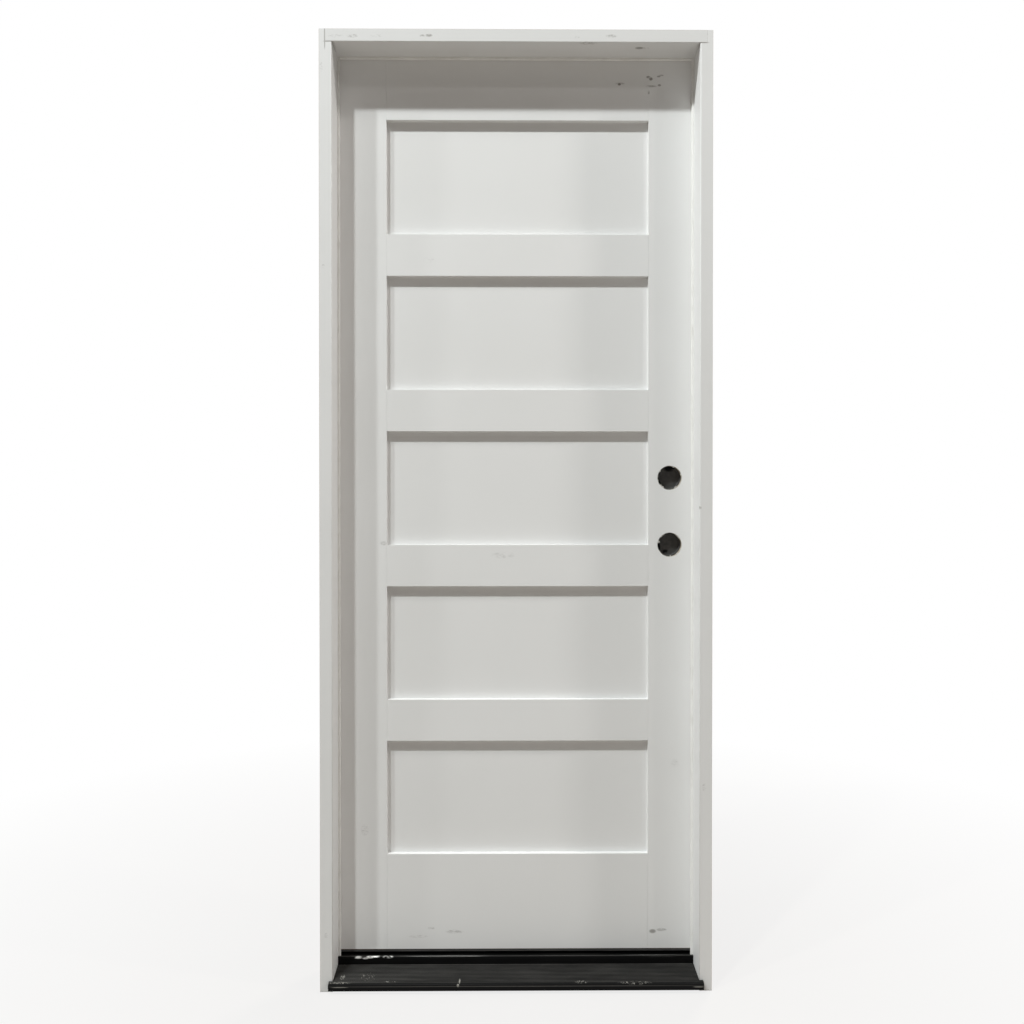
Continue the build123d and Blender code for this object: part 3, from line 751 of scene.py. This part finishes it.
fibre_finish, tree, shader = new_finish("torn_fibre")
strands = cloud(tree, coordinates(tree), 900.0)
fibre_colour = tint(tree, remap(tree, strands, 0.35, 0.65), fibre_pale, fibre_dark)
tree.links.new(fibre_colour, shader.inputs["Base Color"])
shader.inputs["Roughness"].default_value = 0.85
relief(tree, shader, strands, 0.0003)

near, far = door_face + shade_disc_depth, door_back - shade_disc_depth
floor_near, floor_far = door_face + shade_disc_floor, door_back - shade_disc_floor
shade_disc_profile = [
    (shade_disc_gate, floor_near), (shade_disc_foot, floor_near), (shade_disc_wall, floor_near - shade_disc_fillet),
    (shade_disc_lip, near), (shade_disc_radius - shade_disc_ease, near), (shade_disc_radius, near + shade_disc_ease),
    (shade_disc_radius, far - shade_disc_ease), (shade_disc_radius - shade_disc_ease, far), (shade_disc_lip, far),
    (shade_disc_wall, floor_far), (shade_disc_gate, floor_far),
]
for name, seed in (("lockset", 3.1), ("deadbolt", 8.7)):
    centre = (bores[f"{name}_bore"][0], bores[f"{name}_bore"][2])
    shade_disc = made_piece(f"{name}_plug", turned_shape(shade_disc_profile, centre), shade_disc_finish)
    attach(shade_disc, "door")
    rim = made_piece(f"{name}_bore_fibres", torn_shape(centre, seed), fibre_finish)
    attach(rim, "door")


# Door sweep.
# Charcoal vinyl with hanging fins, its two stems pressed into kerfs under the slab.
vinyl = (0.044, 0.0435, 0.0425)
vinyl_dusty = (0.090, 0.088, 0.084)
sweep_arris = 0.0003

sweep_finish, tree, shader = new_finish("sweep_vinyl")
lint = cloud(tree, coordinates(tree, (20, 200, 200)), 1.0, detail=5.0, harsh=0.6)
vinyl_colour = tint(tree, remap(tree, lint, 0.35, 0.75), vinyl, vinyl_dusty)
tree.links.new(vinyl_colour, shader.inputs["Base Color"])
tree.links.new(remap(tree, lint, 0.3, 0.7, 0.45, 0.62), shader.inputs["Roughness"])
shader.inputs["Specular IOR Level"].default_value = 0.15
relief(tree, shader, lint, 0.0001)
coat(nodes["door_sweep"], sweep_finish)
ease_edges(nodes["door_sweep"], sweep_arris)


# Studio.
# A pale floor that fades into white, and a white room with a weak warm fill.
# Three small lamps stand on the left and two on the right, and a soft one lights the inside.
floor_reach = 14.0
floor_drop = 0.0003
floor_pale = (0.38, 0.345, 0.31)
floor_worn = (0.355, 0.32, 0.285)
paper_white = (1.0, 1.0, 1.0)
fade_start, fade_end = 0.45, 2.2
fade_least = 0.80
fill_warmth = (1.0, 0.915, 0.83)
fill_strength = 0.085
daylight = (0.95, 1.0, 1.0)
camera_place = (-0.023066, -1.973264, 1.047734)
camera_lens = 31.347
camera_sensor = 36.0
camera_tilt = math.radians(90 - 0.4168)
camera_turn = math.radians(-0.4165)
scene = bpy.context.scene
scene.view_settings.view_transform = "Standard"


def seen(tree):
    """Whether the eye sees a thing directly, in a mirror or through glass, as 0 or 1."""
    path = tree.nodes.new("ShaderNodeLightPath").outputs
    return gather(tree, [path["Is Camera Ray"], path["Is Glossy Ray"], path["Is Transmission Ray"]])


bpy.ops.mesh.primitive_plane_add(size=floor_reach, location=(0, 0, -floor_drop))
floor = bpy.context.object
floor.name = "studio_floor"
floor_finish, tree, shader = new_finish("floor_paper")
tooth = cloud(tree, coordinates(tree), 130.0)
tree.links.new(tint(tree, tooth, floor_pale, floor_worn), shader.inputs["Base Color"])
shader.inputs["Roughness"].default_value = 0.9
shine = tree.nodes.new("ShaderNodeEmission")
shine.inputs["Color"].default_value = (*paper_white, 1)
distance = place_sums(tree, "LENGTH", on_piece(tree))
fade = remap(tree, distance, fade_start, fade_end, to_low=fade_least)
paper = tree.nodes.new("ShaderNodeMixShader")
tree.links.new(sums(tree, "MULTIPLY", seen(tree), fade), paper.inputs["Fac"])
tree.links.new(shader.outputs["BSDF"], paper.inputs[1])
tree.links.new(shine.outputs["Emission"], paper.inputs[2])
tree.links.new(paper.outputs["Shader"], tree.nodes["Material Output"].inputs["Surface"])
coat(floor, floor_finish)

world = bpy.data.worlds.new("white_room")
scene.world = world
world.use_nodes = True
tree = world.node_tree
tree.nodes.clear()
fill = tree.nodes.new("ShaderNodeBackground")
fill.inputs["Color"].default_value = (*fill_warmth, 1)
fill.inputs["Strength"].default_value = fill_strength
backdrop = tree.nodes.new("ShaderNodeBackground")
backdrop.inputs["Color"].default_value = (*paper_white, 1)
backdrop.inputs["Strength"].default_value = 1.0
room = tree.nodes.new("ShaderNodeMixShader")
tree.links.new(seen(tree), room.inputs["Fac"])
tree.links.new(fill.outputs["Background"], room.inputs[1])
tree.links.new(backdrop.outputs["Background"], room.inputs[2])
output = tree.nodes.new("ShaderNodeOutputWorld")
tree.links.new(room.outputs["Shader"], output.inputs["Surface"])


def hang_lamp(name, aim, travel, distance, size, power, colour):
    """A square lamp that throws light along a direction onto a place."""
    light = bpy.data.lights.new(name, "AREA")
    light.shape = "SQUARE"
    light.size = size
    light.energy = power
    light.color = colour
    holder = bpy.data.objects.new(name, light)
    scene.collection.objects.link(holder)
    way = Vector(travel).normalized()
    holder.location = Vector(aim) - way * distance
    holder.rotation_euler = way.to_track_quat("-Z", "Y").to_euler()


# Each lamp: its name, what it is aimed at, the way of its light, distance, size, watts, colour.
hang_lamp("lamp_left", (-0.3, 0.0, 1.85), (1.24, 1.0, -1.65), 7.2, 0.28, 236, daylight)
hang_lamp("lamp_overhead", (-0.3, 0.0, 1.85), (0.55, 1.0, -1.65), 7.0, 0.28, 325, daylight)
hang_lamp("lamp_side", (0.1, 0.0, 1.9), (3.0, 1.0, -1.75), 7.0, 0.32, 69, paper_white)
hang_lamp("lamp_inside", (0.0, 0.05, 1.1), (-0.7, -1.0, -0.75), 6.0, 1.2, 215, (1.0, 0.985, 0.96))
hang_lamp("lamp_right", (0.2, 0.0, 1.9), (-3.2, 1.0, -1.9), 5.2, 0.36, 112, (1.0, 0.97, 0.94))
hang_lamp("lamp_low", (0.0, 0.0, 1.9), (-1.35, 1.0, -0.94), 5.2, 0.10, 16, (1.0, 0.98, 0.95))

view = bpy.data.cameras.new("front_view")
view.sensor_width = camera_sensor
view.lens = camera_lens
camera = bpy.data.objects.new("front_view", view)
scene.collection.objects.link(camera)
camera.location = camera_place
camera.rotation_euler = Euler((camera_tilt, 0.0, camera_turn), "XYZ")
scene.camera = camera
